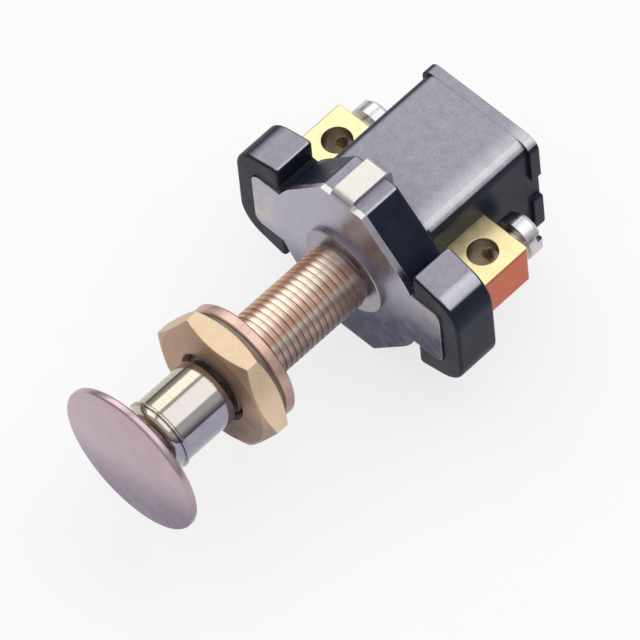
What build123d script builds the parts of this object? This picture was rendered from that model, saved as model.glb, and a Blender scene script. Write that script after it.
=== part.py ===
from build123d import *
import math
import os

# Panel-mounted push-pull switch, in millimetres. Its axis is Y, with the knob at -Y and +Z up.
# The origin is where the axis meets the front face of the mounting plate.
# A station is a place along Y. The knob is modelled pushed in.

# Room in the fits
running_gap = 0.05       # radius to radius, where one piece slides or turns in another
loose_gap = 0.15         # round a piece that lies in a moulded seat or over the thread
stop_gap = 0.3           # between two pieces that meet at the end of a travel
contact_gap = 0.12       # between a contact spring and what slides past it
face_gap = 0.05          # between flat faces that turn against each other

# Mounting plate, a steel stamping with two tabs folded back over the flange
plate_thickness = 1.0
disc_radius = 13.4       # also the waist of the flange behind it
plate_ear_reach = 17.6
plate_ear_height = 10.8
plate_ear_round = 1.4
tab_width = 3.7
tab_hook = 2.6           # how far a tab turns down behind the flange
tab_bend = 0.4           # inside of its folds

# Threaded bush, staked into the plate. Its collar seats on the back of a panel.
bush_diameter = 10.0
bush_reach = 25.6        # from the plate to the free end
bush_chamfer = 0.7
collar_diameter = 14.0
collar_thickness = 0.8
spigot_diameter = 8.4
staked_rim_width = 0.8
staked_rim_thickness = 0.7

# Nut and washers on the bush
nut_across_flats = 19.6
nut_thickness = 4.0
nut_overhang = 0.3       # nut stands past the bush's free end
nut_face_margin = 0.3    # face circle inside the flats
nut_chamfer_angle = 30
nut_turn = -4.5          # about Y, from a corner on +X
lock_washer_diameter = 18.0
lock_washer_thickness = 0.7
lock_tooth_count = 10
lock_tooth_length = 2.0
lock_tooth_space = 1.5
panel_washer_diameter = 18.6
panel_washer_thickness = 1.8
panel_washer_chamfer = 0.25

# Knob
knob_diameter = 23.6
knob_rim_thickness = 1.3
knob_rim_round = 0.45
knob_dome = 0.7
knob_flare_length = 4.6
knob_bead_size = 0.3
neck_diameter = 10.4
neck_length = 9.6
neck_gap = 0.5           # neck to nut when pushed in
neck_chamfer = 0.4

# Plunger rod and travel
travel = 7.0
rod_diameter = 6.0
rod_tip_diameter = 4.6   # screwed into the knob
rod_tip_length = 8.6
rod_tail_diameter = 4.0  # carries the spool
detent_depth = 0.5
detent_wire = 0.9
detent_leg = 4.8         # spring's ends above the axis
detent_bend = 4.5        # where its bend starts below the axis

# Flange of the housing
flange_back = 7.2
rim_step = 0.3           # flange's ears stand back from the plate's front
lobe_width = 7.6
lobe_reach = 15.6        # under the folded tab
lobe_round = 0.8
ear_reach = 20.9
ear_root = 12.6
ear_root_height = 20.6
ear_end_height = 16.2
ear_round = 5.0
ear_root_round = 0.7
waist_height = 13.0      # at the bottom of the four notches
flange_edge_round = 0.5

# Box of the housing
body_width = 19.0
body_height = 20.4
body_back = 25.8
body_round = 2.4
wall = 1.6
front_wall = 1.6
cavity_round = 0.6
post_diameter = 4.2      # rivet posts in two corners of the cavity

# Rear cover and its rivets
cover_thickness = 1.7
cover_overhang = 0.6
cover_notch_height = 5.0
cover_round = 2.0
rivet_diameter = 2.0
rivet_head_diameter = 3.8
rivet_head_height = 0.7
rivet_depth = 6.0
rivet_hollow = 1.1

# Sliding spool and contact ring
spool_diameter = 11.0
spool_length = 11.0
ring_length = 5.0
ring_wall = 1.0
spool_washer_diameter = 10.2
spool_washer_thickness = 0.5
clip_diameter = 7.6
clip_thickness = 0.6
clip_groove_depth = 0.5
clip_mouth = 2.4

# Terminals, one on each side
terminal_reach = 17.8
terminal_front = 8.0
terminal_back = 17.0
terminal_height = 7.4
terminal_round = 0.5
wire_hole_diameter = 4.4
tenon_diameter = 3.4
clamp_diameter = 3.5
clamp_head_diameter = 6.6
clamp_head_height = 2.6
clamp_head_gap = 1.4     # head to terminal, with the wire hole open
clamp_slot_width = 1.0
clamp_slot_depth = 1.2
clamp_slot_turn = 25
clamp_head_round = 0.5

# Contact springs and their rivets
strip_thickness = 0.4
strip_width = 5.6
strip_front = 8.6
strip_bend = 12.6        # where the strip leaves the wall
strip_crest = 14.6       # where it meets the spool
strip_end = 17.6
strip_bend_round = 0.7
contact_rivet_diameter = 1.6
contact_rivet_head_diameter = 3.0
contact_rivet_head_height = 0.6
contact_rivet_grip = 1.2  # into the terminal

# Stations and radii that follow from the sizes above
bush_radius = bush_diameter / 2
rod_radius = rod_diameter / 2
nut_front = -bush_reach - nut_overhang
nut_back = nut_front + nut_thickness
lock_washer_front = nut_back + face_gap
panel_washer_front = lock_washer_front + lock_washer_thickness
neck_end = nut_front - neck_gap
flare_start = neck_end - neck_length
rim_back = flare_start - knob_flare_length
rim_front = rim_back - knob_rim_thickness
staked_rim_back = plate_thickness + staked_rim_thickness
detent_station = staked_rim_back + loose_gap + detent_wire
pocket_back = detent_station + detent_wire
cavity_front = pocket_back + front_wall
cavity_half_width = body_width / 2 - wall
cavity_half_height = body_height / 2 - wall
spool_front = cavity_front + stop_gap + travel
spool_back = spool_front + spool_length
clip_front = spool_back + spool_washer_thickness + face_gap
rod_end = clip_front + 2 * clip_thickness + face_gap
terminal_middle = (body_width / 2 + terminal_reach) / 2
wire_hole_station = (terminal_front + terminal_back) / 2
contact_rivet_station = (strip_front + strip_bend) / 2
post_x = cavity_half_width - post_diameter / 2 + wall / 2
post_z = cavity_half_height - post_diameter / 2 + wall / 2
rivet_places = ((post_x, post_z), (-post_x, -post_z))


def slab(outline, front, back):
    """Outline drawn in X and Z, made solid between two stations."""
    return extrude(Plane.XZ.offset(-back) * outline, back - front)


def turned(*points):
    """Outline of (radius, station) points, turned about the axis."""
    return revolve(Polygon(*points, align=None), Axis.Y)


def round_bar(radius, front, back):
    return slab(Circle(radius), front, back)


def corners(outline, x, z):
    """The outline's vertices at plus and minus x and z."""
    return [v for v in outline.vertices() if math.isclose(abs(v.X), x, abs_tol=1e-4)
            and math.isclose(abs(v.Y), z, abs_tol=1e-4)]


def lobes(reach):
    """Lobes above and below the disc, whose flanks run into its rim, joined through the middle."""
    half = lobe_width / 2
    spread = math.atan2(half, reach) + math.acos(disc_radius / math.hypot(half, reach))
    root, shoulder = disc_radius * math.sin(spread), disc_radius * math.cos(spread)
    upper = Polygon((-root, 0), (root, 0), (root, shoulder), (half, reach), (-half, reach), (-root, shoulder),
                    align=None)
    return upper + mirror(upper, about=Plane.XZ)


def flange_outline():
    root, end = ear_root_height / 2, ear_end_height / 2
    ear = Polygon((ear_root, -root), (ear_reach, -end), (ear_reach, end), (ear_root, root), align=None)
    waist = Rectangle(2 * ear_root, waist_height)
    outline = Circle(disc_radius) + lobes(lobe_reach) + waist + ear + mirror(ear, about=Plane.YZ)
    outline = fillet(corners(outline, ear_reach, end), ear_round)
    outline = fillet(corners(outline, ear_root, root), ear_root_round)
    return fillet(corners(outline, lobe_width / 2, lobe_reach), lobe_round)


def plate_outline():
    ears = RectangleRounded(2 * plate_ear_reach, plate_ear_height, plate_ear_round)
    outline = Circle(disc_radius) + lobes(lobe_reach) + ears
    return fillet(corners(outline, lobe_width / 2, lobe_reach), lobe_round)


def folded_tabs():
    """Upper and lower tab, each folded over its lobe and hooked behind the flange."""
    middle = plate_thickness / 2
    root, top, back = lobe_reach - tab_hook, lobe_reach + middle, flange_back + middle
    fold = FilletPolyline((middle, root), (middle, top), (back, top), (back, root), radius=tab_bend + middle)
    tab = extrude(Plane.YZ * trace(fold, plate_thickness), tab_width / 2, both=True)
    return tab + mirror(tab, about=Plane.XY)


def mounting_plate():
    return slab(plate_outline() - Circle(spigot_diameter / 2), 0, plate_thickness) + folded_tabs()


def threaded_bush():
    collar, spigot = collar_diameter / 2, spigot_diameter / 2
    bore = rod_radius + running_gap
    return turned((bore, -bush_reach), (bush_radius - bush_chamfer, -bush_reach),
                  (bush_radius, bush_chamfer - bush_reach), (bush_radius, -collar_thickness),
                  (collar, -collar_thickness), (collar, 0), (spigot, 0), (spigot, plate_thickness),
                  (spigot + staked_rim_width, plate_thickness), (spigot, staked_rim_back),
                  (bore, staked_rim_back))


def face_nut():
    face = nut_across_flats / 2 - nut_face_margin
    corner = nut_across_flats / math.sqrt(3)
    drop = (corner - face) * math.tan(math.radians(nut_chamfer_angle))
    bore = bush_radius + running_gap
    hexagon = RegularPolygon(nut_across_flats / 2, 6, major_radius=False, rotation=nut_turn)
    envelope = turned((bore + bush_chamfer, nut_front), (face, nut_front), (corner, nut_front + drop),
                      (corner, nut_back - drop), (face, nut_back), (bore + bush_chamfer, nut_back),
                      (bore, nut_back - bush_chamfer), (bore, nut_front + bush_chamfer))
    return envelope & slab(hexagon, nut_front, nut_back)


def lock_washer():
    bore = bush_radius + loose_gap
    space = Pos(bore + lock_tooth_length / 2, 0) * Rectangle(lock_tooth_length + bore / 2, lock_tooth_space)
    ring = Circle(lock_washer_diameter / 2) - Circle(bore)
    ring -= PolarLocations(0, lock_tooth_count) * space
    return slab(ring, lock_washer_front, lock_washer_front + lock_washer_thickness)


def panel_washer():
    bore, rim = bush_radius + loose_gap, panel_washer_diameter / 2
    back = panel_washer_front + panel_washer_thickness
    return turned((bore, panel_washer_front), (rim - panel_washer_chamfer, panel_washer_front),
                  (rim, panel_washer_front + panel_washer_chamfer), (rim, back - panel_washer_chamfer),
                  (rim - panel_washer_chamfer, back), (bore, back))


def knob():
    neck, rim, bore = neck_diameter / 2, knob_diameter / 2, rod_tip_diameter / 2 + running_gap
    bottom = neck_end - rod_tip_length - stop_gap
    bead, bead_flat = neck + knob_bead_size, knob_bead_size / 2
    bead_back, bead_front = flare_start + knob_bead_size, flare_start - knob_bead_size
    flare_end = rim - knob_rim_round
    pull = (rim - neck) / 2
    outline = Polyline((bore, neck_end), (neck - neck_chamfer, neck_end), (neck, neck_end - neck_chamfer),
                       (neck, bead_back), (bead, flare_start + bead_flat), (bead, flare_start - bead_flat),
                       (neck, bead_front))
    outline += Bezier((neck, bead_front), (neck, (bead_front + rim_back) / 2), (rim - pull, rim_back),
                      (flare_end, rim_back))
    outline += TangentArc((flare_end, rim_back), (rim, rim_back - knob_rim_round), tangent=(1, 0))
    outline += Line((rim, rim_back - knob_rim_round), (rim, rim_front + knob_rim_round))
    outline += TangentArc((rim, rim_front + knob_rim_round), (flare_end, rim_front), tangent=(0, -1))
    outline += TangentArc((0, rim_front - knob_dome), (flare_end, rim_front), tangent=(1, 0))
    outline += Polyline((0, rim_front - knob_dome), (0, bottom), (bore, bottom), (bore, neck_end))
    return revolve(make_face(outline), Axis.Y)


def plunger_rod():
    tip, tail = rod_tip_diameter / 2, rod_tail_diameter / 2
    tip_front = neck_end - rod_tip_length
    groove = rod_radius - detent_depth
    outline = [(0, tip_front), (tip, tip_front), (tip, neck_end), (rod_radius, neck_end)]
    for station in (detent_station, detent_station + travel):
        outline += [(rod_radius, station - detent_wire), (groove, station - detent_wire / 2),
                    (groove, station + detent_wire / 2), (rod_radius, station + detent_wire)]
    clip_seat = tail - clip_groove_depth
    clip_back = clip_front + clip_thickness + face_gap
    outline += [(rod_radius, spool_front), (tail, spool_front), (tail, clip_front), (clip_seat, clip_front),
                (clip_seat, clip_back), (tail, clip_back), (tail, rod_end), (0, rod_end)]
    return turned(*outline)


def contact_spool():
    barrel = spool_diameter / 2
    seat = barrel - ring_wall - running_gap
    bore = rod_tail_diameter / 2 + running_gap
    shoulder = spool_back - ring_length
    return turned((bore, spool_front), (barrel, spool_front), (barrel, shoulder), (seat, shoulder),
                  (seat, spool_back), (bore, spool_back))


def contact_ring():
    outer = spool_diameter / 2
    return slab(Circle(outer) - Circle(outer - ring_wall), spool_back - ring_length, spool_back)


def spool_washer():
    outline = Circle(spool_washer_diameter / 2) - Circle(rod_tail_diameter / 2 + running_gap)
    return slab(outline, spool_back, spool_back + spool_washer_thickness)


def rod_clip():
    seat = rod_tail_diameter / 2 - clip_groove_depth + running_gap
    mouth = Pos(0, -clip_diameter / 2) * Rectangle(clip_mouth, clip_diameter)
    outline = Circle(clip_diameter / 2) - Circle(seat) - mouth
    return slab(outline, clip_front, clip_front + clip_thickness)


def detent_spring():
    leg = rod_radius - detent_depth + running_gap + detent_wire / 2
    bend = -detent_bend
    path = Wire([
        Line((leg, detent_leg), (leg, bend)),
        ThreePointArc((leg, bend), (0, bend - leg), (-leg, bend)),
        Line((-leg, bend), (-leg, detent_leg)),
    ])
    path = Plane.XZ.offset(-detent_station) * path
    return sweep(Plane(path @ 0, z_dir=path % 0) * Circle(detent_wire / 2), path=path)


def spring_pocket():
    """Room in the front of the housing for the staked rim and the detent spring."""
    half = rod_radius + 2 * detent_wire + loose_gap
    low = detent_bend + half
    high = detent_leg + loose_gap
    outline = Pos(0, (high - low) / 2) * RectangleRounded(2 * half, high + low, half / 2)
    rim = round_bar(spigot_diameter / 2 + staked_rim_width + loose_gap, plate_thickness,
                    staked_rim_back + loose_gap)
    return slab(outline, plate_thickness, pocket_back) + rim


def housing():
    flange = slab(flange_outline(), rim_step, flange_back)
    flange = fillet(flange.faces().filter_by(Axis.Y).edges(), flange_edge_round)
    flange -= slab(offset(plate_outline(), loose_gap), 0, plate_thickness)
    body = slab(RectangleRounded(body_width, body_height, body_round), plate_thickness, body_back)
    cavity = RectangleRounded(2 * cavity_half_width, 2 * cavity_half_height, cavity_round)
    for place in rivet_places:
        cavity -= Pos(*place) * Circle(post_diameter / 2)
    shell = flange + body - slab(cavity, cavity_front, body_back) - spring_pocket()
    shell -= round_bar(rod_radius + loose_gap, 0, body_back)
    for place in rivet_places:
        rivet_hole = Pos(*place) * Circle(rivet_diameter / 2 + running_gap)
        shell -= slab(rivet_hole, body_back - rivet_depth, body_back)
    tenon_holes = Plane.YZ * Pos(contact_rivet_station, 0) * Circle(tenon_diameter / 2 + running_gap)
    return shell - extrude(tenon_holes, body_width, both=True) - folded_tabs()


def rear_cover():
    outline = RectangleRounded(body_width + 2 * cover_overhang, body_height, cover_round)
    notch = Pos(body_width / 2 + cover_overhang, 0) * Rectangle(2 * cover_overhang, cover_notch_height)
    outline -= notch + mirror(notch, about=Plane.YZ)
    for place in rivet_places:
        outline -= Pos(*place) * Circle(rivet_diameter / 2 + running_gap)
    return slab(outline, body_back, body_back + cover_thickness)


def cover_rivets():
    head, shank = rivet_head_diameter / 2, rivet_diameter / 2
    seat = body_back + cover_thickness
    back = seat + rivet_head_height
    tip = body_back - rivet_depth + stop_gap
    hollow = rivet_hollow / 2
    rivet = turned((0, tip), (shank, tip), (shank, seat), (head, seat), (head, seat + rivet_head_height / 3),
                   (head - rivet_head_height, back), (hollow, back), (hollow, seat), (0, seat))
    return [Pos(x, 0, z) * rivet for x, z in rivet_places]


def terminal():
    wall_face = body_width / 2
    size = (terminal_reach - wall_face, terminal_back - terminal_front, terminal_height)
    middle = Pos(terminal_middle, wire_hole_station, 0)
    block = middle * Box(*size)
    block = fillet(block.faces().sort_by(Axis.X)[-1].edges(), terminal_round)
    block -= middle * Cylinder(wire_hole_diameter / 2, 2 * terminal_height)
    screw_hole = Circle(clamp_diameter / 2 + running_gap)
    block -= slab(Pos(terminal_middle, 0) * screw_hole, wire_hole_station, terminal_back)
    side = Plane.YZ * Pos(contact_rivet_station, 0)
    tenon = extrude(side * Circle(tenon_diameter / 2), wall_face)
    tenon -= extrude(side * Circle(tenon_diameter / 2), cavity_half_width)
    block += tenon
    rivet_hole = Circle(contact_rivet_diameter / 2 + running_gap)
    return block - extrude(side * rivet_hole, wall_face + contact_rivet_grip)


def clamp_screw():
    shank, head = clamp_diameter / 2, clamp_head_diameter / 2
    tip = wire_hole_station + wire_hole_diameter / 2 + stop_gap
    seat = terminal_back + clamp_head_gap
    back = seat + clamp_head_height
    screw = turned((0, tip), (shank, tip), (shank, seat), (head, seat), (head, back - clamp_head_round),
                   (head - clamp_head_round, back), (0, back))
    slot = Rectangle(clamp_head_diameter + clamp_slot_width, clamp_slot_width, rotation=clamp_slot_turn)
    screw -= slab(slot, back - clamp_slot_depth, back + clamp_slot_depth)
    return Pos(terminal_middle, 0, 0) * screw


def contact_strip():
    lying = cavity_half_width - strip_thickness / 2
    crest = spool_diameter / 2 + contact_gap + strip_thickness / 2
    path = FilletPolyline((lying, strip_front), (lying, strip_bend), (crest, strip_crest),
                          (lying - strip_thickness, strip_end), radius=strip_bend_round)
    strip = extrude(trace(path, strip_thickness), strip_width / 2, both=True)
    side = Plane.YZ * Pos(contact_rivet_station, 0)
    return strip - extrude(side * Circle(contact_rivet_diameter / 2 + running_gap), body_width)


def contact_rivet():
    side = Plane.YZ * Pos(contact_rivet_station, 0)
    seat = cavity_half_width - strip_thickness
    shank = Circle(contact_rivet_diameter / 2)
    head = Circle(contact_rivet_head_diameter / 2)
    reach = body_width / 2 + contact_rivet_grip - stop_gap
    rivet = extrude(side * shank, reach) + extrude(side * head, seat)
    return rivet - extrude(side * head, seat - contact_rivet_head_height)


def both_sides(name, right):
    return {"right_" + name: right, "left_" + name: mirror(right, about=Plane.YZ)}


pieces = {
    "housing": housing(),
    "mounting_plate": mounting_plate(),
    "threaded_bush": threaded_bush(),
    "face_nut": face_nut(),
    "lock_washer": lock_washer(),
    "panel_washer": panel_washer(),
    "knob": knob(),
    "plunger_rod": plunger_rod(),
    "contact_spool": contact_spool(),
    "contact_ring": contact_ring(),
    "spool_washer": spool_washer(),
    "rod_clip": rod_clip(),
    "detent_spring": detent_spring(),
    "rear_cover": rear_cover(),
    "cover_rivets": Compound(children=cover_rivets()),
    **both_sides("terminal", terminal()),
    **both_sides("clamp_screw", clamp_screw()),
    **both_sides("contact_strip", contact_strip()),
    **both_sides("contact_rivet", contact_rivet()),
}

os.makedirs("parts", exist_ok=True)
for name, piece in pieces.items():
    export_step(piece, f"parts/{name}.step")
    print(name, round(piece.volume, 2))
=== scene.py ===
import bpy
import math
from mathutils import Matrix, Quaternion, Vector
from mathutils.geometry import interpolate_bezier


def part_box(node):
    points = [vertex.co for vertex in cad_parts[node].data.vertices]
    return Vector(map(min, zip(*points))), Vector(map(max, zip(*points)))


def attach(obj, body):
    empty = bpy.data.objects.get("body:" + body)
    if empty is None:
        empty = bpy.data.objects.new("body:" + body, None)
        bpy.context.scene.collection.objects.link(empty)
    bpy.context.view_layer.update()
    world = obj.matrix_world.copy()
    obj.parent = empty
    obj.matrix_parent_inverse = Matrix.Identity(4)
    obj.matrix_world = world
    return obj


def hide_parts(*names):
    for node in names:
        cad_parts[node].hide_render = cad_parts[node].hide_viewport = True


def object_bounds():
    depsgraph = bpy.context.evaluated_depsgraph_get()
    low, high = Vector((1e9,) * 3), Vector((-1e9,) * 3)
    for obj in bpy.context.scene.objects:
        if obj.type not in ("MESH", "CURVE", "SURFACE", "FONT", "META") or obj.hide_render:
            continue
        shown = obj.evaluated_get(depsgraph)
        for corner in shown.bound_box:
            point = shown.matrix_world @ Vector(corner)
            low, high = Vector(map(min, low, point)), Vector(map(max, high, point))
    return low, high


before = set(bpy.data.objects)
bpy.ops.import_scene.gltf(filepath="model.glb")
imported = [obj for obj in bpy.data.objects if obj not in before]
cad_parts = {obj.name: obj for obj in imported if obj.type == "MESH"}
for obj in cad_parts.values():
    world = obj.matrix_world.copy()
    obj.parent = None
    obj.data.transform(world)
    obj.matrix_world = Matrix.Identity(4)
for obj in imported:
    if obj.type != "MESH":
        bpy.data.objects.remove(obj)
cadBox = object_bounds()
print("switch loaded,", len(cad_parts), "nodes")


# camera at the photograph's angle, a long lens far away
photoView = {
    "azimuth": 49.41,
    "elevation": 55.86,
    "roll": -6.23,
    "distance": 2.0,
    "farthest": 20,
    "pixelsPerMetre": 7428.0,  # at the aim point
    "pictureWidth": 640,  # pixels
    "sensorWidth": 36,
    "aim": (0.00128, -0.0068, -0.00366),
}


def placeCamera(view):
    turn = math.radians(view["azimuth"])
    rise = math.radians(view["elevation"])
    back = Vector((math.sin(turn) * math.cos(rise), -math.cos(turn) * math.cos(rise), math.sin(rise)))
    bpy.ops.object.camera_add(location=Vector(view["aim"]) + back * view["distance"])
    camera = bpy.context.object
    camera.name = "photoCamera"
    camera.rotation_mode = "QUATERNION"
    tilt = Quaternion((0, 0, 1), math.radians(view["roll"]))
    camera.rotation_quaternion = (-back).to_track_quat("-Z", "Y") @ tilt
    seenAcross = view["pictureWidth"] / view["pixelsPerMetre"]
    camera.data.sensor_width = view["sensorWidth"]
    camera.data.lens = view["sensorWidth"] * view["distance"] / seenAcross
    camera.data.clip_end = view["farthest"]
    bpy.context.scene.camera = camera


placeCamera(photoView)
print("camera placed")


# shared modelling steps
smoothAngle = math.radians(30)
mergeDistance = 1e-6


def clearSelection():
    if bpy.context.object and bpy.context.object.mode != "OBJECT":
        bpy.ops.object.mode_set(mode="OBJECT")
    bpy.ops.object.select_all(action="DESELECT")


def turnPiece(name, stations, segments, closed=True):
    # rings of (radius, station along Y), extruded one after the other, and when closed back to the first
    clearSelection()
    firstRadius, firstStation = stations[0]
    bpy.ops.mesh.primitive_circle_add(vertices=segments, radius=firstRadius, rotation=(math.pi / 2, 0, 0))
    piece = bpy.context.object
    piece.name = name
    bpy.ops.object.transform_apply(location=True, rotation=True, scale=True)
    bpy.ops.object.mode_set(mode="EDIT")
    bpy.ops.mesh.select_all(action="SELECT")
    bpy.ops.transform.translate(value=(0, firstStation, 0))
    following = stations[1:] + stations[:1] if closed else stations[1:]
    for (radius, station), (nextRadius, nextStation) in zip(stations, following):
        bpy.ops.mesh.extrude_edges_move(TRANSFORM_OT_translate={"value": (0, nextStation - station, 0)})
        share = nextRadius / radius
        bpy.ops.transform.resize(value=(share, 1, share), center_override=(0, nextStation, 0))
    bpy.ops.mesh.select_all(action="SELECT")
    bpy.ops.mesh.remove_doubles(threshold=mergeDistance)
    bpy.ops.mesh.normals_make_consistent(inside=False)
    bpy.ops.object.mode_set(mode="OBJECT")
    return piece


def threadRidge(name, thread):
    # one tooth of the thread, wound up by a Screw modifier, sinking into the core at both ends
    clearSelection()
    foot = thread["foot"]
    middle = (thread["crest"] + foot) / 2
    bpy.ops.mesh.primitive_plane_add(size=1, location=(middle, thread["start"], 0))
    ridge = bpy.context.object
    ridge.name = name
    ridge.scale = (thread["crest"] - foot, thread["pitch"] * thread["footShare"], 1)
    bpy.ops.object.transform_apply(location=True, rotation=True, scale=True)
    for vertex in ridge.data.vertices:
        vertex.select = vertex.co.x > middle
    for edge in ridge.data.edges:
        edge.select = all(ridge.data.vertices[i].select for i in edge.vertices)
    ridge.data.polygons[0].select = False
    bpy.ops.object.mode_set(mode="EDIT")
    toothMiddle = (middle, thread["start"], 0)
    bpy.ops.transform.resize(value=(1, thread["crestShare"], 1), center_override=toothMiddle)
    bpy.ops.mesh.select_all(action="SELECT")
    bpy.ops.mesh.delete(type="ONLY_FACE")
    bpy.ops.object.mode_set(mode="OBJECT")
    corners = len(ridge.data.vertices)
    screw = ridge.modifiers.new("thread", "SCREW")
    screw.axis = "Y"
    screw.angle = 2 * math.pi
    screw.screw_offset = thread["pitch"]
    screw.iterations = thread["turns"]
    screw.steps = screw.render_steps = thread["steps"]
    bpy.ops.object.modifier_apply(modifier=screw.name)
    lastRing = len(ridge.data.vertices) // corners - 1
    halfTurn = thread["steps"] / 2
    for index, vertex in enumerate(ridge.data.vertices):
        ring = index // corners
        risen = min(1, ring / halfTurn, (lastRing - ring) / halfTurn)
        height = thread["endShare"] + (1 - thread["endShare"]) * risen
        radius = math.hypot(vertex.co.x, vertex.co.z)
        wanted = foot + (radius - foot) * height
        vertex.co.x *= wanted / radius
        vertex.co.z *= wanted / radius
    bpy.ops.object.mode_set(mode="EDIT")
    bpy.ops.mesh.select_all(action="SELECT")
    bpy.ops.mesh.fill_holes(sides=corners)
    bpy.ops.mesh.normals_make_consistent(inside=False)
    bpy.ops.object.mode_set(mode="OBJECT")
    return ridge


def joinPieces(main, *others):
    clearSelection()
    for piece in others:
        piece.select_set(True)
    main.select_set(True)
    bpy.context.view_layer.objects.active = main
    bpy.ops.object.join()
    bpy.ops.object.shade_smooth_by_angle(angle=smoothAngle)
    return main


# threaded bush, with a real M10x1 thread over its turned core
bushSizes = {
    "bore": 0.00305,
    "core": 0.00484,
    "freeEnd": -0.0256,
    "chamfer": 0.0007,
    "relief": 0.00445,  # groove between thread and collar
    "reliefStart": 0.0006,  # in front of the collar
    "reliefBottom": 0.0004,
    "collarRadius": 0.007,
    "collarFront": -0.0008,
    "collarEdge": 0.00015,
    "spigot": 0.0042,
    "plateBack": 0.001,
    "stakedRadius": 0.005,
    "stakedBack": 0.0017,
    "segments": 96,
}
bushThread = {
    "foot": 0.0045,
    "footShare": 0.96,  # of the pitch
    "crest": 0.005,
    "crestShare": 0.5,  # of the foot's width
    "endShare": 0.05,  # height left at the two ends
    "pitch": 0.001,
    "turns": 24,
    "steps": 64,
    "start": -0.0253,
}


def makeBush(s, thread):
    core = turnPiece("bush", [
        (s["bore"], s["freeEnd"]),
        (s["core"] - s["chamfer"] / 2, s["freeEnd"]),
        (s["core"], s["freeEnd"] + s["chamfer"] / 2),
        (s["core"], s["collarFront"] - s["reliefStart"]),
        (s["relief"], s["collarFront"] - s["reliefBottom"]),
        (s["relief"], s["collarFront"]),
        (s["collarRadius"] - s["collarEdge"], s["collarFront"]),
        (s["collarRadius"], s["collarFront"] + s["collarEdge"]),
        (s["collarRadius"], 0),
        (s["spigot"], 0),
        (s["spigot"], s["plateBack"]),
        (s["stakedRadius"], s["plateBack"]),
        (s["spigot"], s["stakedBack"]),
        (s["bore"], s["stakedBack"]),
    ], s["segments"])
    return joinPieces(core, threadRidge("bushRidge", thread))


bush = makeBush(bushSizes, bushThread)
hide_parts("threaded_bush")
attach(bush, "switch_body")
print("bush threaded,", len(bush.data.polygons), "faces")


# mushroom knob, turned with a true pole in the middle of its dome
knobSizes = {
    "rimRadius": 0.0118,
    "rimThickness": 0.0013,
    "rimRound": 0.00045,
    "dome": 0.0007,
    "flareLength": 0.0046,
    "bead": 0.0003,
    "neckRadius": 0.0052,
    "neckLength": 0.0096,
    "neckChamfer": 0.0004,
    "bore": 0.00235,
    "boreDepth": 0.0089,
    "pole": 1e-7,  # rings this small merge into one point
    "domeSteps": 20,
    "roundSteps": 6,
    "flareSteps": 24,
    "segments": 128,
}


def makeKnob(s):
    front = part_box("knob")[0][1]
    rimFront = front + s["dome"]
    rimBack = rimFront + s["rimThickness"]
    beadMiddle = rimBack + s["flareLength"]
    flareBack = beadMiddle - s["bead"]
    neckEnd = beadMiddle + s["neckLength"]
    boreEnd = neckEnd - s["boreDepth"]
    neck = s["neckRadius"]
    faceRadius = s["rimRadius"] - s["rimRound"]
    domeRadius = (faceRadius ** 2 + s["dome"] ** 2) / (2 * s["dome"])
    rings = []
    for step in range(s["domeSteps"]):
        radius = max(s["pole"], faceRadius * step / s["domeSteps"])
        rings.append((radius, front + domeRadius - math.sqrt(domeRadius ** 2 - radius ** 2)))
    for middle, start in ((rimFront + s["rimRound"], -90), (rimBack - s["rimRound"], 0)):
        for step in range(s["roundSteps"] + 1):
            angle = math.radians(start + 90 * step / s["roundSteps"])
            radius = faceRadius + s["rimRound"] * math.cos(angle)
            rings.append((radius, middle + s["rimRound"] * math.sin(angle)))
    flare = interpolate_bezier(
        Vector((faceRadius, rimBack)),
        Vector(((s["rimRadius"] + neck) / 2, rimBack)),
        Vector((neck, (flareBack + rimBack) / 2)),
        Vector((neck, flareBack)),
        s["flareSteps"],
    )
    rings += [(point.x, point.y) for point in flare[1:]]
    rings += [
        (neck + s["bead"], beadMiddle - s["bead"] / 2),
        (neck + s["bead"], beadMiddle + s["bead"] / 2),
        (neck, beadMiddle + s["bead"]),
        (neck, neckEnd - s["neckChamfer"]),
        (neck - s["neckChamfer"], neckEnd),
        (s["bore"], neckEnd),
        (s["bore"], boreEnd),
        (s["pole"], boreEnd),
    ]
    knob = turnPiece("turnedKnob", rings, s["segments"], closed=False)
    bpy.ops.object.shade_smooth_by_angle(angle=smoothAngle)
    return knob


turnedKnob = makeKnob(knobSizes)
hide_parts("knob")
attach(turnedKnob, "plunger")
print("knob turned,", len(turnedKnob.data.polygons), "faces")


# threads of the clamp screws, where they show between head and terminal
clampThread = {
    "foot": 0.00168,
    "footShare": 0.96,
    "crest": 0.0019,
    "crestShare": 0.3,
    "endShare": 0.05,
    "pitch": 0.0006,
    "turns": 2,
    "steps": 48,
    "start": 0.01712,
    "reach": 0.01365,  # the screw's axis from the middle
}
clampSides = ((-1, "left_screw", "leftClampThread"), (1, "right_screw", "rightClampThread"))


def makeClampThread(name, thread, side):
    ridge = threadRidge(name, thread)
    bpy.ops.object.mode_set(mode="EDIT")
    bpy.ops.mesh.select_all(action="SELECT")
    bpy.ops.transform.translate(value=(side * thread["reach"], 0, 0))
    bpy.ops.object.mode_set(mode="OBJECT")
    bpy.ops.object.shade_smooth_by_angle(angle=smoothAngle)
    return ridge


clampRidges = []
for side, body, name in clampSides:
    ridge = makeClampThread(name, clampThread, side)
    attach(ridge, body)
    clampRidges.append(ridge)
print("clamp screws threaded")


# steps that build node trees
def addNode(tree, kind, values=None, **settings):
    node = tree.nodes.new("ShaderNode" + kind)
    for key, value in settings.items():
        setattr(node, key, value)
    for key, value in (values or {}).items():
        node.inputs[key].default_value = value
    return node


def feed(tree, socket, value):
    # links another node's output, or sets a number, a direction or a colour
    if isinstance(value, bpy.types.NodeSocket):
        tree.links.new(value, socket)
    elif socket.type == "RGBA":
        socket.default_value = (*value, 1)
    else:
        socket.default_value = value


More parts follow.
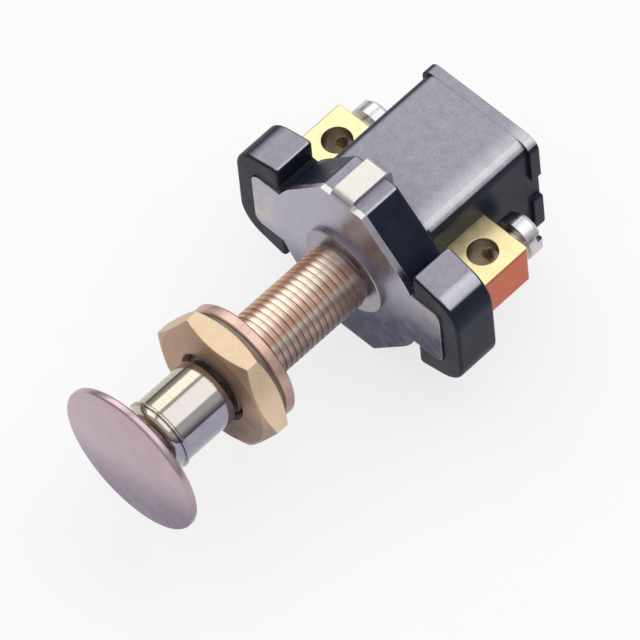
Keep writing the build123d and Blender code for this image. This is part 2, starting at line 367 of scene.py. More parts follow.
def objectPoint(tree):
    return addNode(tree, "TexCoord").outputs["Object"]


def objectNormal(tree):
    return addNode(tree, "TexCoord").outputs["Normal"]


def axesOf(tree, point):
    node = addNode(tree, "SeparateXYZ")
    feed(tree, node.inputs[0], point)
    return node.outputs


def dotOf(tree, first, second):
    node = addNode(tree, "VectorMath", operation="DOT_PRODUCT")
    feed(tree, node.inputs[0], first)
    feed(tree, node.inputs[1], second)
    return node.outputs["Value"]


def mathNode(tree, operation, *values):
    node = addNode(tree, "Math", operation=operation)
    for socket, value in zip(node.inputs, values):
        feed(tree, socket, value)
    return node.outputs[0]


def product(tree, first, *others):
    for other in others:
        first = mathNode(tree, "MULTIPLY", first, other)
    return first


def distanceOf(tree, first, second):
    squares = [mathNode(tree, "POWER", side, 2.0) for side in (first, second)]
    return mathNode(tree, "SQRT", mathNode(tree, "ADD", *squares))


def noiseAt(tree, point, scale, detail, roughness):
    node = addNode(tree, "TexNoise", {"Detail": detail, "Roughness": roughness})
    feed(tree, node.inputs["Vector"], point)
    feed(tree, node.inputs["Scale"], scale)
    return node.outputs["Fac"]


def rangeOf(tree, value, low, high, newLow=0.0, newHigh=1.0):
    node = addNode(tree, "MapRange", {"To Min": newLow, "To Max": newHigh}, interpolation_type="SMOOTHSTEP")
    for label, given in (("Value", value), ("From Min", low), ("From Max", high)):
        feed(tree, node.inputs[label], given)
    return node.outputs["Result"]


def mixColour(tree, share, first, second, blend="MIX"):
    node = addNode(tree, "Mix", data_type="RGBA", blend_type=blend)
    # a Mix node's sockets for colours are the seventh and eighth
    for place, value in ((0, share), (6, first), (7, second)):
        feed(tree, node.inputs[place], value)
    return node.outputs[2]


def placeGroup(tree, group, **values):
    node = tree.nodes.new("ShaderNodeGroup")
    node.node_tree = group
    for key, value in values.items():
        feed(tree, node.inputs[key], value)
    return node.outputs


# node groups shared by the finishes
def newGroup(name, inputs, outputs):
    group = bpy.data.node_groups.new(name, "ShaderNodeTree")
    for label, kind, value in inputs:
        socket = group.interface.new_socket(label, in_out="INPUT", socket_type="NodeSocket" + kind)
        socket.default_value = value
    for label, kind in outputs:
        group.interface.new_socket(label, in_out="OUTPUT", socket_type="NodeSocket" + kind)
    return group, group.nodes.new("NodeGroupInput").outputs, group.nodes.new("NodeGroupOutput").inputs


def makeMottle():
    # cloudy change of tone, with a finer speckle for roughness and bump
    group, given, out = newGroup("mottle", [
        ("Light", "Color", (0.8, 0.8, 0.8, 1)),
        ("Dark", "Color", (0.3, 0.3, 0.3, 1)),
        ("Patches", "Float", 400.0),
        ("Speckle", "Float", 4000.0),
        ("Smooth", "Float", 0.2),
        ("Rough", "Float", 0.5),
    ], [("Color", "Color"), ("Roughness", "Float"), ("Height", "Float")])
    patchShare = 0.65
    point = objectPoint(group)
    patches = noiseAt(group, point, given["Patches"], detail=5, roughness=0.6)
    speckle = noiseAt(group, point, given["Speckle"], detail=3, roughness=0.55)
    coarse = product(group, rangeOf(group, patches, low=0.32, high=0.68), patchShare)
    fine = product(group, rangeOf(group, speckle, low=0.3, high=0.7), 1 - patchShare)
    both = mathNode(group, "ADD", coarse, fine)
    spread = mathNode(group, "SUBTRACT", given["Rough"], given["Smooth"])
    rough = mathNode(group, "ADD", given["Smooth"], product(group, spread, both))
    feed(group, out["Color"], mixColour(group, both, given["Dark"], given["Light"]))
    feed(group, out["Roughness"], rough)
    feed(group, out["Height"], speckle)
    return group


def makeSoftEdge():
    # rounds sharp edges in the shading and finds them for wear
    group, given, out = newGroup("softEdge", [
        ("Radius", "Float", 0.0002),
        ("Breakup", "Float", 1500.0),
    ], [("Normal", "Vector"), ("Edge", "Float")])
    bevel = addNode(group, "Bevel", samples=6)
    feed(group, bevel.inputs["Radius"], given["Radius"])
    rounded = bevel.outputs["Normal"]
    turned = dotOf(group, rounded, addNode(group, "NewGeometry").outputs["Normal"])
    edge = rangeOf(group, turned, low=0.995, high=0.86)
    clouds = noiseAt(group, objectPoint(group), given["Breakup"], detail=4, roughness=0.6)
    worn = rangeOf(group, clouds, low=0.35, high=0.65, newLow=0.25)
    feed(group, out["Normal"], rounded)
    feed(group, out["Edge"], product(group, edge, worn))
    return group


def makeLatheLines():
    # fine rings left by turning about an axis along Y through Centre
    group, given, out = newGroup("latheLines", [
        ("Centre", "Vector", (0, 0, 0)),
        ("Lines", "Float", 6000.0),
    ], [("Height", "Float"), ("Radius", "Float"), ("Station", "Float")])
    shift = addNode(group, "VectorMath", operation="SUBTRACT")
    feed(group, shift.inputs[0], objectPoint(group))
    feed(group, shift.inputs[1], given["Centre"])
    axes = axesOf(group, shift.outputs[0])
    radius = distanceOf(group, axes["X"], axes["Z"])
    flat = addNode(group, "CombineXYZ")
    feed(group, flat.inputs["X"], radius)
    feed(group, flat.inputs["Y"], axes["Y"])
    lines = noiseAt(group, flat.outputs[0], given["Lines"], detail=2, roughness=0.5)
    feed(group, out["Height"], lines)
    feed(group, out["Radius"], radius)
    feed(group, out["Station"], axes["Y"])
    return group


def makeDustAndSheen():
    # pale haze on what faces Towards, from Edge, where it starts, to Full, and on nothing lower than Above:
    # dust with painted sheen on the tops, painted highlight on the rounds
    group, given, out = newGroup("dustAndSheen", [
        ("Towards", "Vector", (0, 0, 1)),
        ("Edge", "Float", 0.78),
        ("Full", "Float", 0.96),
        ("Above", "Float", 0.0),
        ("Amount", "Float", 0.3),
        ("Clumps", "Float", 700.0),
        ("Grains", "Float", 6500.0),
    ], [("Mask", "Float")])
    point = objectPoint(group)
    turned = rangeOf(group, dotOf(group, objectNormal(group), given["Towards"]), given["Edge"], given["Full"])
    above = mathNode(group, "SUBTRACT", axesOf(group, point)["Z"], given["Above"])
    high = rangeOf(group, above, low=0.0, high=0.0008)
    clumps = noiseAt(group, point, given["Clumps"], detail=5, roughness=0.6)
    grains = noiseAt(group, point, given["Grains"], detail=2, roughness=0.5)
    clumped = rangeOf(group, clumps, low=0.3, high=0.7, newLow=0.86)
    grainy = rangeOf(group, grains, low=0.25, high=0.75, newLow=0.7)
    feed(group, out["Mask"], product(group, turned, high, clumped, grainy, given["Amount"]))
    return group


def makePaintedShading():
    # mask of painted shade and highlight, deepening along a direction, broken up by noise
    group, given, out = newGroup("paintedShading", [
        ("Along", "Vector", (0, 0, -1)),
        ("Start", "Float", 0.0),
        ("Length", "Float", 0.02),
        ("Share", "Float", 0.5),
    ], [("Mask", "Float")])
    point = objectPoint(group)
    end = mathNode(group, "ADD", given["Start"], given["Length"])
    deep = rangeOf(group, dotOf(group, point, given["Along"]), given["Start"], end)
    clouds = noiseAt(group, point, scale=420.0, detail=5, roughness=0.6)
    clouded = rangeOf(group, clouds, low=0.3, high=0.7, newLow=0.75)
    feed(group, out["Mask"], product(group, deep, clouded, given["Share"]))
    return group


def makeFacing():
    # how squarely the surface faces along an axis, either way
    group, given, out = newGroup("facing", [
        ("Axis", "Vector", (0, 1, 0)),
        ("Share", "Float", 1.0),
    ], [("Mask", "Float")])
    turned = mathNode(group, "ABSOLUTE", dotOf(group, objectNormal(group), given["Axis"]))
    feed(group, out["Mask"], product(group, rangeOf(group, turned, low=0.6, high=0.95), given["Share"]))
    return group


mottle = makeMottle()
softEdge = makeSoftEdge()
latheLines = makeLatheLines()
dustAndSheen = makeDustAndSheen()
paintedShading = makePaintedShading()
facing = makeFacing()
print("node groups made")


# steps shared by the finishes
def newFinish(name, values):
    finish = bpy.data.materials.new(name)
    finish.use_nodes = True
    shader = finish.node_tree.nodes["Principled BSDF"]
    for key, value in values.items():
        shader.inputs[key].default_value = value
    return finish, finish.node_tree, shader.inputs


def placeMottle(tree, look):
    return placeGroup(
        tree, mottle, Light=look["light"], Dark=look["dark"], Patches=look["patches"],
        Speckle=look["speckle"], Smooth=look["smooth"], Rough=look["rough"])


# places a mask of painted shade and highlight
def placePaintedShading(tree, shadeSpec):
    return placeGroup(
        tree, paintedShading, Along=shadeSpec["along"], Start=shadeSpec["start"], Length=shadeSpec["length"],
        Share=shadeSpec["share"])["Mask"]


def bumpOn(tree, shader, height, bump, normal=None):
    node = addNode(tree, "Bump", {"Strength": bump["strength"], "Distance": bump["distance"]})
    feed(tree, node.inputs["Height"], height)
    if normal:
        feed(tree, node.inputs["Normal"], normal)
    feed(tree, shader["Normal"], node.outputs["Normal"])


def dullBy(tree, shader, mask, share):
    feed(tree, shader["Metallic"], mathNode(tree, "SUBTRACT", 1.0, product(tree, mask, share)))


# black moulding, dusty with a painted sheen on top, with painted highlights on the rounds of its right edges
# and towards the box's right corner
bakeliteLook = {
    "shader": {"Metallic": 0.0, "IOR": 1.5, "Specular IOR Level": 0.13},
    "light": (0.017, 0.0205, 0.039),
    "dark": (0.0095, 0.012, 0.0255),
    "patches": 300.0,
    "speckle": 5200.0,
    "smooth": 0.3,
    "rough": 0.48,
    "edgeRadius": 0.0003,
    "edgeShare": 0.3,
    "edgeTone": (0.16, 0.155, 0.18),
    # dust with a painted sheen only above this height
    "sheenAndDustAbove": 0.0074,
    "topDustAndSheen": {"Towards": (0.1, 0.0, 0.995), "Amount": 0.7},
    "topDustAndSheenTone": (0.60, 0.57, 0.66),
    # painted highlight on the rounds of the right edges
    "roundHighlightFacing": {"Towards": (0.5, 0.0, 0.866), "Edge": 0.968, "Full": 0.99, "Amount": 0.75},
    "roundHighlightTone": (0.84, 0.82, 0.88),
    # painted highlight towards the box's right corner, palest at its edge
    "cornerFrom": 0.0074,  # stations behind the flange
    "cornerFull": 0.0078,
    "cornerHighlightFacing": {"Towards": (0.342, 0.0, 0.94), "Edge": 0.77, "Full": 0.87, "Amount": 0.72},
    "cornerHighlightRamp": {"along": (1.0, 0.0, 0.0), "start": 0.0048, "length": 0.0038, "share": 1.0},
    "cornerHighlightTone": (0.84, 0.82, 0.86),
    "bump": {"strength": 0.18, "distance": 0.00006},
}


def makeBakelite(look):
    finish, tree, shader = newFinish("blackBakelite", look["shader"])
    tone = placeMottle(tree, look)
    edge = placeGroup(tree, softEdge, Radius=look["edgeRadius"])
    above = look["sheenAndDustAbove"]
    # dust with a painted sheen on the tops
    top = placeGroup(tree, dustAndSheen, Above=above, **look["topDustAndSheen"])["Mask"]
    # painted highlight on the rounded right edges
    roundHighlightMask = placeGroup(tree, dustAndSheen, Above=above, **look["roundHighlightFacing"])["Mask"]
    # painted highlight towards the box's right corner, behind the flange
    upward = placeGroup(tree, dustAndSheen, Above=above, **look["cornerHighlightFacing"])["Mask"]
    outward = placePaintedShading(tree, look["cornerHighlightRamp"])
    behind = rangeOf(tree, axesOf(tree, objectPoint(tree))["Y"], look["cornerFrom"], look["cornerFull"])
    corner = product(tree, upward, outward, behind)
    colour = mixColour(tree, product(tree, edge["Edge"], look["edgeShare"]), tone["Color"], look["edgeTone"])
    colour = mixColour(tree, top, colour, look["topDustAndSheenTone"])
    colour = mixColour(tree, roundHighlightMask, colour, look["roundHighlightTone"])
    feed(tree, shader["Base Color"], mixColour(tree, corner, colour, look["cornerHighlightTone"]))
    feed(tree, shader["Roughness"], tone["Roughness"])
    bumpOn(tree, shader, tone["Height"], look["bump"], edge["Normal"])
    return finish


# plated steel, tinted on the ears, with painted shade at the lower right, paler on the faces that face up or
# down, such as the folded tabs
zincLook = {
    "shader": {"Metallic": 1.0, "Specular IOR Level": 0.2},
    "light": (0.49, 0.465, 0.55),
    "dark": (0.38, 0.355, 0.43),
    "patches": 600.0,
    "speckle": 4200.0,
    "smooth": 0.26,
    "rough": 0.42,
    "edgeRadius": 0.00018,
    "edgeTone": (0.80, 0.77, 0.70),
    "tintFrom": 0.0115,  # from the middle
    "tintFull": 0.0172,
    "tintShare": 0.6,
    "tintPatches": 260.0,
    "tintTone": (0.70, 0.63, 0.42),
    # painted shade, darkest at the lower right
    "paintedShade": {"along": (0.36, 0.0, -0.93), "start": -0.003, "length": 0.0125, "share": 1.12},
    "paintedShadeTone": (0.029, 0.029, 0.084),
    "paintedShadeDull": 0.7,
    "tabShare": 0.85,
    "tabTone": (0.63, 0.61, 0.55),
    "bump": {"strength": 0.2, "distance": 0.00005},
}


def makeZincPlate(look):
    finish, tree, shader = newFinish("zincPlate", look["shader"])
    tone = placeMottle(tree, look)
    edge = placeGroup(tree, softEdge, Radius=look["edgeRadius"])
    point = objectPoint(tree)
    across = mathNode(tree, "ABSOLUTE", axesOf(tree, point)["X"])
    outward = rangeOf(tree, across, look["tintFrom"], look["tintFull"])
    clouds = noiseAt(tree, point, look["tintPatches"], detail=3, roughness=0.5)
    clouded = rangeOf(tree, clouds, low=0.4, high=0.66, newHigh=look["tintShare"])
    # painted shade at the lower right
    paintedShade = placePaintedShading(tree, look["paintedShade"])
    tab = placeGroup(tree, facing, Axis=(0, 0, 1), Share=look["tabShare"])["Mask"]
    colour = mixColour(tree, product(tree, outward, clouded), tone["Color"], look["tintTone"])
    colour = mixColour(tree, paintedShade, colour, look["paintedShadeTone"])
    colour = mixColour(tree, tab, colour, look["tabTone"])
    feed(tree, shader["Base Color"], mixColour(tree, edge["Edge"], colour, look["edgeTone"]))
    feed(tree, shader["Roughness"], tone["Roughness"])
    dullBy(tree, shader, paintedShade, look["paintedShadeDull"])
    bumpOn(tree, shader, tone["Height"], look["bump"], edge["Normal"])
    return finish


# brass of the terminals, with painted shade in copper red on the outer side and painted shade inside the
# drilled hole
terminalLook = {
    "light": (0.84, 0.72, 0.42),
    "dark": (0.77, 0.63, 0.335),
    "patches": 500.0,
    "speckle": 3600.0,
    "smooth": 0.34,
    "rough": 0.44,
    "edgeRadius": 0.0002,
    "edgeTone": (0.93, 0.86, 0.62),
    # painted shade, copper red, on the outer side
    "shadedSideFrom": 0.01755,
    "shadedSideFull": 0.01775,
    "shadedSideShare": 0.95,
    "shadedSideTone": (0.53, 0.115, 0.058),
    "holeReach": clampThread["reach"],
    "holeStation": 0.0125,
    # painted shade inside the drilled hole
    "holeShadeFrom": 0.00226,  # just outside the hole's wall
    "holeShadeFull": 0.00222,
    "holeShadeShare": 0.85,
    "holeShadeTone": (0.16, 0.11, 0.07),
    "bump": {"strength": 0.06, "distance": 0.00004},
}


def makeTerminalBrass(look):
    finish, tree, shader = newFinish("terminalBrass", {"Metallic": 1.0})
    tone = placeMottle(tree, look)
    edge = placeGroup(tree, softEdge, Radius=look["edgeRadius"])
    axes = axesOf(tree, objectPoint(tree))
    across = mathNode(tree, "ABSOLUTE", axes["X"])
    # painted shade on the outer side
    outerSideShade = product(tree, rangeOf(tree, across, look["shadedSideFrom"], look["shadedSideFull"]), look["shadedSideShare"])
    fromX = mathNode(tree, "SUBTRACT", across, look["holeReach"])
    fromY = mathNode(tree, "SUBTRACT", axes["Y"], look["holeStation"])
    fromHole = distanceOf(tree, fromX, fromY)
    # painted shade inside the hole
    shadedHole = rangeOf(tree, fromHole, look["holeShadeFrom"], look["holeShadeFull"], newHigh=look["holeShadeShare"])
    colour = mixColour(tree, outerSideShade, tone["Color"], look["shadedSideTone"])
    colour = mixColour(tree, shadedHole, colour, look["holeShadeTone"])
    feed(tree, shader["Base Color"], mixColour(tree, edge["Edge"], colour, look["edgeTone"]))
    feed(tree, shader["Roughness"], tone["Roughness"])
    bumpOn(tree, shader, tone["Height"], look["bump"], edge["Normal"])
    return finish


# bush, nickel with bands of painted shade and painted highlight along its length, brown and darkest low on
# the right, grey on the collar, with painted shade on its free end
leftUp = (-0.889, 0.0, 0.457)  # across the axis, seen from the knob
rightDown = (0.889, 0.0, -0.457)
bushLook = {
    "light": (0.86, 0.77, 0.65),
    "dark": (0.74, 0.61, 0.48),
    "patches": 380.0,
    "speckle": 3800.0,
    "smooth": 0.26,
    "rough": 0.4,
    "rootFrom": 0.00496,  # from the axis
    "rootFull": 0.00485,
    "rootShare": 0.32,
    "rootRough": 0.2,
    "rootTone": (0.24, 0.15, 0.10),
    "collarEnd": -0.0009,
    "threadStart": -0.0011,
    "collarTone": (0.35, 0.325, 0.36),
    # painted shade on the free end, in the gap by the knob's neck
    "recessShadeFrom": -0.0251,
    "recessShadeFull": -0.0254,
    "recessShadeShare": 0.85,
    "recessShadeTone": (0.07, 0.05, 0.05),
    "paintedBandDull": 0.85,
    "bump": {"strength": 0.1, "distance": 0.00004},
}
# bands of painted shade and painted highlight across the bush, from the left flank to the dark lower right
bushPaintedBands = [
    {"along": leftUp, "start": 0.0028, "length": 0.0014, "share": 0.85, "tone": (0.58, 0.28, 0.165)},
    {"along": rightDown, "start": -0.0019, "length": 0.0018, "share": 1.0, "tone": (0.32, 0.19, 0.15)},
    {"along": rightDown, "start": 0.0, "length": 0.001, "share": 0.5, "tone": (0.58, 0.29, 0.18)},
    {"along": rightDown, "start": 0.0007, "length": 0.001, "share": 1.0, "tone": (0.86, 0.77, 0.65)},
    {"along": rightDown, "start": 0.0016, "length": 0.0012, "share": 0.9, "tone": (0.38, 0.235, 0.22)},
    {"along": rightDown, "start": 0.003, "length": 0.0014, "share": 0.94, "tone": (0.10, 0.06, 0.085)},
]


def makeBushMetal(look, paintedBands):
    finish, tree, shader = newFinish("nickelBrassPaintedBands", {"Metallic": 1.0})
    tone = placeMottle(tree, look)
    rings = placeGroup(tree, latheLines)
    station = rings["Station"]
    onThread = rangeOf(tree, station, look["collarEnd"], look["threadStart"])
    inRoot = rangeOf(tree, rings["Radius"], look["rootFrom"], look["rootFull"])
    root = product(tree, inRoot, onThread, look["rootShare"])
    # painted shade on the free end
    freeEnd = rangeOf(tree, station, look["recessShadeFrom"], look["recessShadeFull"], newHigh=look["recessShadeShare"])
    colour = tone["Color"]
    # painted shade and highlight in bands
    for paintedBand in paintedBands:
        mask = placePaintedShading(tree, paintedBand)
        colour = mixColour(tree, mask, colour, paintedBand["tone"])
    colour = mixColour(tree, onThread, look["collarTone"], colour)
    colour = mixColour(tree, root, colour, look["rootTone"])
    rough = mathNode(tree, "ADD", tone["Roughness"], product(tree, root, look["rootRough"]))
    feed(tree, shader["Base Color"], mixColour(tree, freeEnd, colour, look["recessShadeTone"]))
    feed(tree, shader["Roughness"], rough)
    dullBy(tree, shader, product(tree, mask, onThread), look["paintedBandDull"])  # the last, darkest band of painted shade
    bumpOn(tree, shader, tone["Height"], look["bump"])
    return finish


# chrome of the knob, bright on the neck with streaks of painted reflection along it, satin and finely pitted
# on the face, with painted shade low on the face
knobLook = {
    "light": (0.545, 0.42, 0.465),
    "dark": (0.455, 0.345, 0.39),
    "patches": 350.0,
    "speckle": 5200.0,
    "smooth": 0.24,
    "rough": 0.36,
    "edgeRadius": 0.00025,
    "neckStart": -0.0404,
    "faceEnd": -0.0408,
    # painted shade, darkest low on the face
    "paintedShade": {"along": (0.25, 0.0, -0.97), "start": -0.003, "length": 0.0125, "share": 0.95},
    "paintedShadeTone": (0.12, 0.075, 0.165),
    "paintedShadeDull": 0.5,
    "lines": 3500.0,
    "lineDark": (0.47, 0.42, 0.345),
    "lineLight": (0.51, 0.46, 0.385),
    "polishLow": 0.06,  # the neck's roughness
    "polishHigh": 0.13,
    "bump": {"strength": 0.035, "distance": 0.00003},
}
# painted reflections in streaks along the neck, pale then dark towards the lower right
neckPaintedReflections = [
    {"along": rightDown, "start": -0.0024, "length": 0.0014, "share": 0.9, "tone": (0.50, 0.465, 0.46)},
    {"along": rightDown, "start": 0.0014, "length": 0.0014, "share": 0.95, "tone": (0.30, 0.28, 0.37)},
]


def makeKnobChrome(look, paintedBands):
    finish, tree, shader = newFinish("knobChrome", {"Metallic": 1.0})
    tone = placeMottle(tree, look)
    edge = placeGroup(tree, softEdge, Radius=look["edgeRadius"])
    rings = placeGroup(tree, latheLines, Lines=look["lines"])
    onFace = rangeOf(tree, rings["Station"], look["neckStart"], look["faceEnd"])
    lines = rangeOf(tree, rings["Height"], low=0.35, high=0.65)
    neck = mixColour(tree, lines, look["lineDark"], look["lineLight"])
    # painted reflections along the neck
    for paintedBand in paintedBands:
        neck = mixColour(tree, placePaintedShading(tree, paintedBand), neck, paintedBand["tone"])
    # painted shade low on the face
    paintedShade = placePaintedShading(tree, look["paintedShade"])
    face = mixColour(tree, paintedShade, tone["Color"], look["paintedShadeTone"])
    polished = rangeOf(
        tree, tone["Height"], low=0.3, high=0.7, newLow=look["polishLow"], newHigh=look["polishHigh"])
    satin = product(tree, mathNode(tree, "SUBTRACT", tone["Roughness"], polished), onFace)
    feed(tree, shader["Base Color"], mixColour(tree, onFace, neck, face))
    feed(tree, shader["Roughness"], mathNode(tree, "ADD", polished, satin))
    dullBy(tree, shader, product(tree, paintedShade, onFace), look["paintedShadeDull"])
    bumpOn(tree, shader, tone["Height"], look["bump"], edge["Normal"])
    return finish


# fibre of the contact spool
fibreLook = {
    "shader": {"Metallic": 0.0, "Specular IOR Level": 0.35},
    "light": (0.34, 0.18, 0.09),
    "dark": (0.18, 0.08, 0.04),
    "patches": 700.0,
    "speckle": 6000.0,
    "smooth": 0.5,
    "rough": 0.75,
    "edgeRadius": 0.0002,
    "bump": {"strength": 0.3, "distance": 0.00005},
}


def makeFibre(look):
    finish, tree, shader = newFinish("pressedFibre", look["shader"])
    tone = placeMottle(tree, look)
    edge = placeGroup(tree, softEdge, Radius=look["edgeRadius"])
    feed(tree, shader["Base Color"], tone["Color"])
    feed(tree, shader["Roughness"], tone["Roughness"])
    bumpOn(tree, shader, tone["Height"], look["bump"], edge["Normal"])
    return finish


# metals with lathe lines: what they share, then what each has of its own
turnedCommon = {
    "patches": 500.0,
    "speckle": 3600.0,
    "centre": (0, 0, 0),
    "lines": 6000.0,
    "lineShade": 0.93,
    "edgeRadius": 0.0002,
    "faceShadeTone": None,  # painted shade on the faces square to the axis
    "faceShare": 0.8,
    "shadeAndHighlightMarks": (),
    "recessShade": None,
    "bump": {"strength": 0.06, "distance": 0.00004},
}
nutLook = {
    "light": (0.76, 0.61, 0.43),
    "dark": (0.67, 0.50, 0.34),
    "edgeTone": (0.88, 0.78, 0.62),
    "smooth": 0.46,
    "rough": 0.58,
    # painted shade on the faces square to the axis
    "faceShadeTone": (0.48, 0.30, 0.22),
    # painted shade in the bore round the knob's neck
    "recessShade": {"from": 0.00585, "full": 0.00565, "share": 0.9, "tone": (0.07, 0.05, 0.05)},
    # painted shade low on the face, painted highlight on the right flats
    "shadeAndHighlightMarks": [
        {"on": "face", "along": (0.4, 0, -0.917), "start": 0.0005, "length": 0.0045, "share": 1.0,
         "tone": (0.045, 0.03, 0.05)},
        {"on": "flats", "along": (0.95, 0, -0.3), "start": 0.005, "length": 0.004, "share": 0.95,
         "tone": (0.96, 0.73, 0.55)},
    ],
}
washerLook = {
    "light": (0.76, 0.54, 0.45),
    "dark": (0.54, 0.36, 0.30),
    "edgeTone": (0.85, 0.70, 0.56),
    "smooth": 0.3,
    "rough": 0.5,
    # painted shade towards the lower right
    "shadeAndHighlightMarks": [
        {"on": "all", "along": (0.75, 0, -0.66), "start": 0.002, "length": 0.006, "share": 0.85,
         "tone": (0.30, 0.2, 0.2)},
    ],
}
dullSteelLook = {
    "light": (0.26, 0.22, 0.20),
    "dark": (0.17, 0.14, 0.12),
    "edgeTone": (0.30, 0.26, 0.23),
    "smooth": 0.4,
    "rough": 0.55,
}
brightSteelLook = {
    "light": (0.72, 0.71, 0.71),
    "dark": (0.55, 0.54, 0.55),
    "edgeTone": (0.85, 0.84, 0.83),
    "smooth": 0.18,
    "rough": 0.34,
}
screwLook = {
    "light": (0.74, 0.72, 0.73),
    "dark": (0.52, 0.50, 0.53),
    "edgeTone": (0.86, 0.84, 0.84),
    "smooth": 0.2,
    "rough": 0.4,
}
copperLook = {
    "light": (0.84, 0.48, 0.33),
    "dark": (0.62, 0.30, 0.20),
    "edgeTone": (0.93, 0.62, 0.46),
    "smooth": 0.2,
    "rough": 0.4,
}
bronzeLook = {
    "light": (0.78, 0.56, 0.32),
    "dark": (0.58, 0.38, 0.20),
    "edgeTone": (0.90, 0.70, 0.44),
    "smooth": 0.22,
    "rough": 0.4,
    "lines": 1500.0,
}


def makeTurnedMetal(name, ownLook, **changes):
    look = {**turnedCommon, **ownLook, **changes}
    finish, tree, shader = newFinish(name, {"Metallic": 1.0})
    tone = placeMottle(tree, look)
    edge = placeGroup(tree, softEdge, Radius=look["edgeRadius"])
    rings = placeGroup(tree, latheLines, Centre=look["centre"], Lines=look["lines"])
    lines = rangeOf(tree, rings["Height"], low=0.35, high=0.65, newLow=look["lineShade"])
    colour = mixColour(tree, 1.0, tone["Color"], lines, "MULTIPLY")
    # painted shade on the faces square to the axis
    if look["faceShadeTone"]:
        face = placeGroup(tree, facing, Axis=(0, 1, 0), Share=look["faceShare"])["Mask"]
        flats = mathNode(tree, "SUBTRACT", 1.0, face)
        colour = mixColour(tree, face, colour, look["faceShadeTone"])
    # painted shade and painted highlight
    for shade in look["shadeAndHighlightMarks"]:
        mask = placePaintedShading(tree, shade)
        if shade["on"] == "face":
            mask = product(tree, mask, face)
        if shade["on"] == "flats":
            mask = product(tree, mask, flats)
        colour = mixColour(tree, mask, colour, shade["tone"])
    # painted shade in the bore
    if look["recessShade"]:
        recessShade = look["recessShade"]
        inner = rangeOf(tree, rings["Radius"], recessShade["from"], recessShade["full"], newHigh=recessShade["share"])
        colour = mixColour(tree, inner, colour, recessShade["tone"])
    feed(tree, shader["Base Color"], mixColour(tree, edge["Edge"], colour, look["edgeTone"]))
    feed(tree, shader["Roughness"], tone["Roughness"])
    bumpOn(tree, shader, rings["Height"], look["bump"], edge["Normal"])
    return finish


bakelite = makeBakelite(bakeliteLook)
zincPlate = makeZincPlate(zincLook)
terminalBrass = makeTerminalBrass(terminalLook)
bushMetal = makeBushMetal(bushLook, bushPaintedBands)
knobChrome = makeKnobChrome(knobLook, neckPaintedReflections)
fibre = makeFibre(fibreLook)
nutBrass = makeTurnedMetal("nutBrass", nutLook)
washerBrass = makeTurnedMetal("brownWasher", washerLook)
dullSteel = makeTurnedMetal("dullSteel", dullSteelLook)
brightSteel = makeTurnedMetal("brightSteel", brightSteelLook)
leftSteel = makeTurnedMetal("leftScrewSteel", screwLook, centre=(-clampThread["reach"], 0, 0))
rightSteel = makeTurnedMetal("rightScrewSteel", screwLook, centre=(clampThread["reach"], 0, 0))
copper = makeTurnedMetal("bareCopper", copperLook)
bronze = makeTurnedMetal("springBronze", bronzeLook)

nodeFinishes = {
    "housing": bakelite,
    "rear_cover": bakelite,
    "mounting_plate": zincPlate,
    "face_nut": nutBrass,
    "panel_washer": washerBrass,
    "lock_washer": dullSteel,
    "plunger_rod": brightSteel,
    "contact_spool": fibre,
    "contact_ring": copper,
    "spool_washer": brightSteel,
    "rod_clip": brightSteel,
    "detent_spring": brightSteel,
    "cover_rivets": brightSteel,
    "left_terminal": terminalBrass,
    "right_terminal": terminalBrass,
    "left_clamp_screw": leftSteel,
    "right_clamp_screw": rightSteel,
    "left_contact_strip": bronze,
    "right_contact_strip": bronze,
    "left_contact_rivet": copper,
    "right_contact_rivet": copper,
}
ownFinishes = (
    (bush, bushMetal),
    (turnedKnob, knobChrome),
    (clampRidges[0], leftSteel),
    (clampRidges[1], rightSteel),
)


def dress(piece, finish):
    piece.data.materials.clear()
    piece.data.materials.append(finish)


for node, finish in nodeFinishes.items():
    dress(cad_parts[node], finish)
for piece, finish in ownFinishes:
    dress(piece, finish)
print("finishes on", len(nodeFinishes) + len(ownFinishes), "pieces")


# floor, lamps and world
floorLook = {
    "shader": {"Roughness": 0.9, "Specular IOR Level": 0.1},
    "across": 8.0,
    "gap": 0.0001,  # under the lowest point
    "tone": (0.88, 0.88, 0.88),
    "grain": 220.0,
    "grainShade": 0.97,
    "lift": 0.75,  # share of plain white where it is seen or mirrored
}


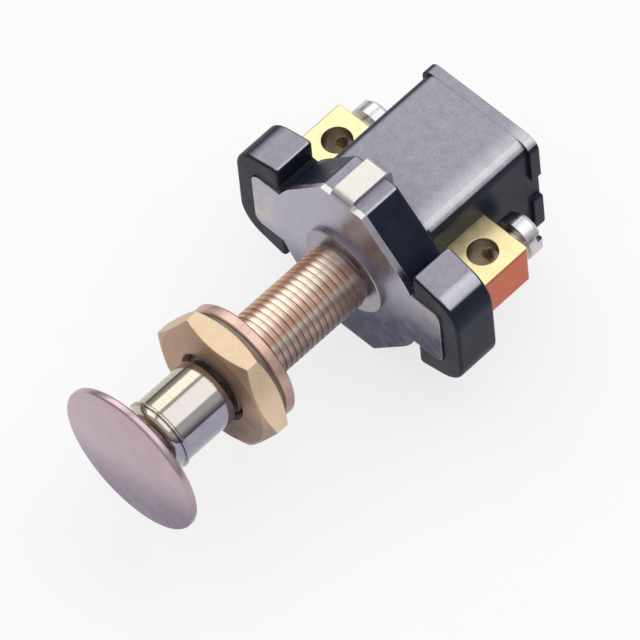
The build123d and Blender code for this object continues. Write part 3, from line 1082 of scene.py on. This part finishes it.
def layFloor(look):
    clearSelection()
    height = cadBox[0].z - look["gap"]
    bpy.ops.mesh.primitive_plane_add(size=look["across"], location=(0, 0, height))
    floor = bpy.context.object
    floor.name = "paleFloor"
    paper, tree, shader = newFinish("palePaper", look["shader"])
    clouds = noiseAt(tree, objectPoint(tree), look["grain"], detail=4, roughness=0.6)
    grain = rangeOf(tree, clouds, low=0.2, high=0.8, newLow=look["grainShade"])
    feed(tree, shader["Base Color"], mixColour(tree, 1.0, look["tone"], grain, "MULTIPLY"))
    light = addNode(tree, "LightPath").outputs
    mirrored = mathNode(tree, "MAXIMUM", light["Is Glossy Ray"], light["Is Transmission Ray"])
    seen = mathNode(tree, "MAXIMUM", light["Is Camera Ray"], mirrored)
    white = addNode(tree, "Emission", {"Color": (1, 1, 1, 1), "Strength": 1.0})
    blend = addNode(tree, "MixShader")
    feed(tree, blend.inputs["Fac"], product(tree, seen, look["lift"]))
    feed(tree, blend.inputs[1], tree.nodes["Principled BSDF"].outputs["BSDF"])
    feed(tree, blend.inputs[2], white.outputs["Emission"])
    feed(tree, tree.nodes["Material Output"].inputs["Surface"], blend.outputs["Shader"])
    dress(floor, paper)


lamps = {
    "overheadSoftbox": {"angle": -43, "along": 0.4, "away": 0.95, "size": (0.60, 1.2), "glow": 1.45},
    "ridgeSoftbox": {"angle": 14, "along": 0.4, "away": 0.95, "size": (1.02, 1.2), "glow": 1.1},
}


def hangLamps(lamps):
    # each hangs at an angle round the switch's axis, from straight above towards +X, and faces that axis
    for name, lamp in lamps.items():
        clearSelection()
        turn = math.radians(lamp["angle"])
        place = (math.sin(turn) * lamp["away"], lamp["along"], math.cos(turn) * lamp["away"])
        bpy.ops.object.light_add(type="AREA", location=place, rotation=(0, turn, 0))
        light = bpy.context.object
        light.name = name
        light.data.shape = "RECTANGLE"
        light.data.size, light.data.size_y = lamp["size"]
        light.data.energy = math.pi * lamp["size"][0] * lamp["size"][1] * lamp["glow"]
        light.visible_camera = False


# from the horizon up
worldTones = [
    {"height": 0.04, "tone": (0.1, 0.1, 0.115, 1)},
    {"height": 0.4, "tone": (0.62, 0.62, 0.63, 1)},
]


def paintWorld(tones):
    world = bpy.data.worlds.new("paleStudio")
    world.use_nodes = True
    bpy.context.scene.world = world
    tree = world.node_tree
    ramp = addNode(tree, "ValToRGB")
    for element, tone in zip(ramp.color_ramp.elements, tones):
        element.position = tone["height"]
        element.color = tone["tone"]
    height = axesOf(tree, addNode(tree, "TexCoord").outputs["Generated"])["Z"]
    feed(tree, ramp.inputs["Fac"], height)
    feed(tree, tree.nodes["Background"].inputs["Color"], ramp.outputs["Color"])


layFloor(floorLook)
hangLamps(lamps)
paintWorld(worldTones)
bpy.context.scene.view_settings.view_transform = "Standard"
print("floor, lamps and world set")
